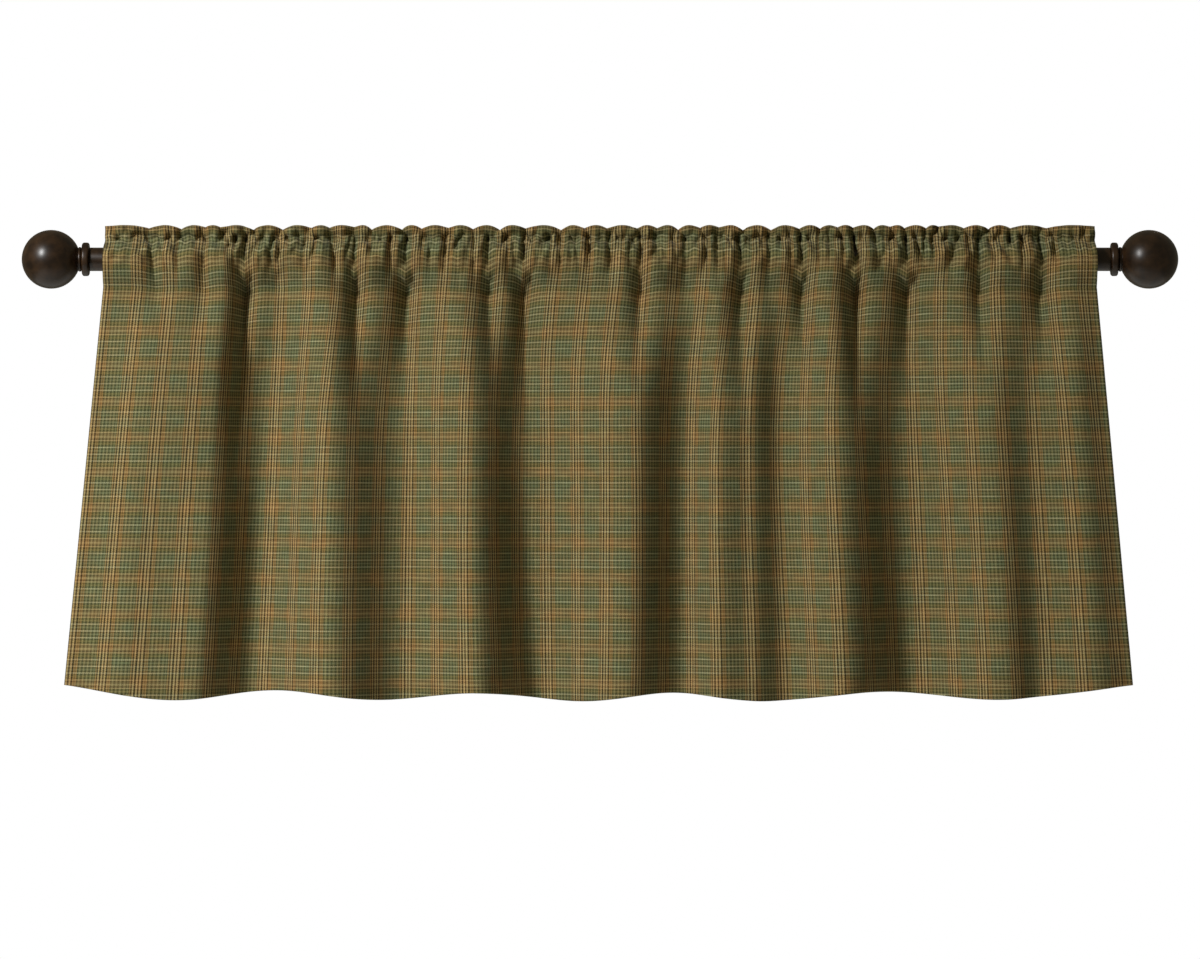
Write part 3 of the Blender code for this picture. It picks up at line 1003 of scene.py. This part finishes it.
print("warp repeat", round(sum(s.width for s in WARP), 1), "mm, weft repeat",
      round(sum(s.width for s in WEFT), 1), "mm")

# %% Stripes and yarns as nodes
UNEVEN_ACROSS = 1.0                 # mm, about a yarn
UNEVEN_ALONG = 22.0                 # mm between thick and thin places
UNEVEN_GAIN = (0.7, 1.3)            # the darkest and the lightest


def stripe_ramp(tree, stripes, place, start):
    """The yarn's colour, and how much it covers, at a place across the repeat."""
    repeat = sum(stripe.width for stripe in stripes)
    turns = add_node(tree, "Math", {"operation": "MULTIPLY_ADD"},
                     place, 1 / (repeat * MM), start / repeat)
    within = add_node(tree, "Math", {"operation": "FRACT"}, turns)
    ramp = add_node(tree, "ValToRGB", {}, within)
    elements = ramp.color_ramp.elements
    elements.remove(elements[1])
    ramp.color_ramp.interpolation = "CONSTANT"
    edge = 0.0
    for number, stripe in enumerate(stripes):
        stop = elements[number] if number < 1 else elements.new(edge / repeat)
        stop.position = edge / repeat
        stop.color = YARNS[stripe.colour]
        edge += stripe.width
    return ramp.outputs["Color"], ramp.outputs["Alpha"]


def uneven_yarn(tree, colour, across, along, seed):
    """The colour made lighter and darker along each yarn, as hand-spun yarn is."""
    place = add_node(
        tree, "CombineXYZ", {},
        add_node(tree, "Math", {"operation": "DIVIDE"}, across, UNEVEN_ACROSS * MM),
        add_node(tree, "Math", {"operation": "DIVIDE"}, along, UNEVEN_ALONG * MM),
        seed)
    noise = add_node(tree, "TexNoise", {}, Vector=place, Scale=1.0, Detail=2.0)
    gain = add_node(tree, "MapRange", {}, Value=noise.outputs["Fac"],
                    From_Min=0.3, From_Max=0.7,
                    To_Min=UNEVEN_GAIN[0], To_Max=UNEVEN_GAIN[1])
    return add_node(tree, "VectorMath", {"operation": "SCALE"}, colour, Scale=gain)


print("yarns vary from", UNEVEN_GAIN[0], "to", UNEVEN_GAIN[1], "of their colour")

# %% Weave as nodes
YARN_PITCH = 0.9                    # mm; drawn coarse, the real one is about 0.5
WEFT_SEEN = (0.31, 0.69)            # share of the surface, under and over the warp


def plain_weave(tree, u, v):
    waves = []
    for place in (u, v):
        angle = add_node(tree, "Math", {"operation": "MULTIPLY"},
                         place, math.pi / (YARN_PITCH * MM))
        waves.append(add_node(tree, "Math", {"operation": "SINE"}, angle))
    return add_node(tree, "Math", {"operation": "MULTIPLY"}, *waves)


def share_of_weft(tree, crossing, warp_cover, weft_cover):
    """How much of the colour is the weft's: weft / (weft + warp), where each is the
    share of the surface that the weave gives it, times how much its yarn covers."""
    over = add_node(tree, "MapRange", {}, Value=crossing, From_Min=-0.3, From_Max=0.3,
                    To_Min=WEFT_SEEN[0], To_Max=WEFT_SEEN[1])
    rest = add_node(tree, "Math", {"operation": "SUBTRACT"}, 1.0, over)
    weft = add_node(tree, "Math", {"operation": "MULTIPLY"}, over, weft_cover)
    warp = add_node(tree, "Math", {"operation": "MULTIPLY"}, rest, warp_cover)
    both = add_node(tree, "Math", {"operation": "ADD"}, weft, warp)
    return add_node(tree, "Math", {"operation": "DIVIDE"}, weft, both)


print("a yarn crossing every", YARN_PITCH, "mm")

# %% Plaid material
WARP_START = 4.7                    # mm into the repeat at the cloth's left edge
WEFT_START = 16.6                   # and at the upper seam
PATCH_SCALE = 60.0                  # cloudy patches of about 17 mm, uneven dye
GREENER = (0.92, 1.02, 1.0, 1)      # the two tints of the patches
WARMER = (1.09, 0.99, 0.88, 1)
WEAVE_HEIGHT = 0.2 * MM


def homespun_plaid(name):
    """Two stripe lists crossed in a plain weave, over the flat cloth's own map."""
    material, tree, shader = new_material(name)
    flat_map = add_node(tree, "UVMap", {"uv_map": "flat_cloth"})
    axes = add_node(tree, "SeparateXYZ", {}, flat_map)
    u, v = axes.outputs["X"], axes.outputs["Y"]
    warp, warp_cover = stripe_ramp(tree, WARP, u, WARP_START)
    weft, weft_cover = stripe_ramp(tree, WEFT, v, WEFT_START)
    warp = uneven_yarn(tree, warp, u, v, seed=1.0)
    weft = uneven_yarn(tree, weft, v, u, seed=7.0)
    crossing = plain_weave(tree, u, v)
    share = share_of_weft(tree, crossing, warp_cover, weft_cover)
    # Sockets 0, 6 and 7 of a colour Mix are its share and its two colours.
    crossed = add_node(tree, "Mix", {"data_type": "RGBA"})
    for number, source in ((0, share), (6, warp), (7, weft)):
        tree.links.new(source.outputs[0], crossed.inputs[number])
    patches = add_node(tree, "TexNoise", {}, Vector=flat_map, Scale=PATCH_SCALE,
                       Detail=2.0)
    tint = add_node(tree, "ValToRGB", {}, Fac=patches.outputs["Fac"])
    stops = tint.color_ramp.elements
    stops[0].position, stops[0].color = 0.36, GREENER
    stops[1].position, stops[1].color = 0.64, WARMER
    dyed = add_node(tree, "Mix", {"data_type": "RGBA", "blend_type": "MULTIPLY"}, 1.0)
    tree.links.new(crossed.outputs[2], dyed.inputs[6])
    tree.links.new(tint.outputs["Color"], dyed.inputs[7])
    rise = add_node(tree, "Math", {"operation": "ABSOLUTE"}, crossing)
    bump = add_node(tree, "Bump", {}, Height=rise, Strength=0.35,
                    Distance=WEAVE_HEIGHT)
    set_inputs(tree, shader, Base_Color=dyed.outputs[2], Normal=bump, Roughness=0.92,
               Specular_IOR_Level=0.15, Sheen_Weight=0.08, Sheen_Roughness=0.5)
    return material


plaid = homespun_plaid("homespun_plaid_cotton")
solid.materials.append(plaid)
print(plaid.name, "has", len(plaid.node_tree.nodes), "nodes")

# %% [markdown]
# ### What the cloth stands for
# The finished sheet takes the place of the plain solid, and its flat size is the
# panel before it was sewn and gathered.

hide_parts("valance")
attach(valance, "root")
print("flat panel", CUT_WIDTH, "by 0.515 m")

# %% [markdown]
# ## Light and floor
# A broad soft lamp in front, high on the left, shapes the folds.  A second one behind
# lights the wrong side.  A dim warm surround fills the shadows, while the background
# itself stays white.  The floor is far below, so it only shows from above.

# %% Studio
world = bpy.data.worlds.new("studio")
bpy.context.scene.world = world
world.use_nodes = True
tree = world.node_tree
tree.nodes.clear()
seen = add_node(tree, "Background", {}, Color=(1, 1, 1, 1), Strength=1.0)
lit = add_node(tree, "Background", {}, Color=(1.0, 0.92, 0.68, 1), Strength=0.145)
rays = add_node(tree, "LightPath", {}).outputs["Is Camera Ray"]
both = add_node(tree, "MixShader", {}, rays, lit, seen)
add_node(tree, "OutputWorld", {}, Surface=both)
bpy.context.scene.view_settings.view_transform = "Standard"
print("surround", len(tree.nodes), "nodes")

# %% Lamps
LAMP_DISTANCE = 6.0                 # metres, from the middle of the cloth
LAMP_CENTRE = np.array([0, 0, -0.17])


def add_lamp(name, direction, turn, size, energy):
    """A soft oval lamp that lies in a direction from the cloth, tipped down by that
    direction's slope and turned to a compass angle in degrees."""
    data = bpy.data.lights.new(name, "AREA")
    data.shape = "ELLIPSE"
    data.size, data.size_y = size
    data.energy = energy
    lamp = bpy.data.objects.new(name, data)
    direction = np.array(direction) / np.linalg.norm(direction)
    lamp.location = tuple(direction * LAMP_DISTANCE + LAMP_CENTRE)
    lamp.rotation_euler = (math.acos(direction[2]), 0, math.radians(turn))
    bpy.context.scene.collection.objects.link(lamp)
    return lamp


# The key is turned well aside, so that only the edge of its light falls on the
# cloth, which is then brighter on the left and low down.
add_lamp("key", (-0.60, -0.66, 0.40), turn=38.0, size=(2.9, 1.9), energy=795)
fill = add_lamp("fill_behind", (0.2, 0.85, 0.40), turn=166.8, size=(3.0, 3.0),
                energy=300)
# Without this the lamp behind makes a bright spot on each ball.
fill.visible_glossy = False

# %% Floor
FLOOR_DROP = 1.8                    # metres below the hem
FLOOR_REACH = 2.4                   # metres each way from the middle

floor_corners = [(x * FLOOR_REACH, y * FLOOR_REACH, cad_low.z - FLOOR_DROP)
                 for x, y in ((-1, -1), (1, -1), (1, 1), (-1, 1))]
floor = add_mesh("floor", np.array(floor_corners), [(0, 1, 2, 3)])
paint, tree, shader = new_material("floor_paint")
set_inputs(tree, shader, Base_Color=linear("cfcfcb"), Roughness=0.9)
floor.data.materials.append(paint)
print("floor", 2 * FLOOR_REACH, "m square")
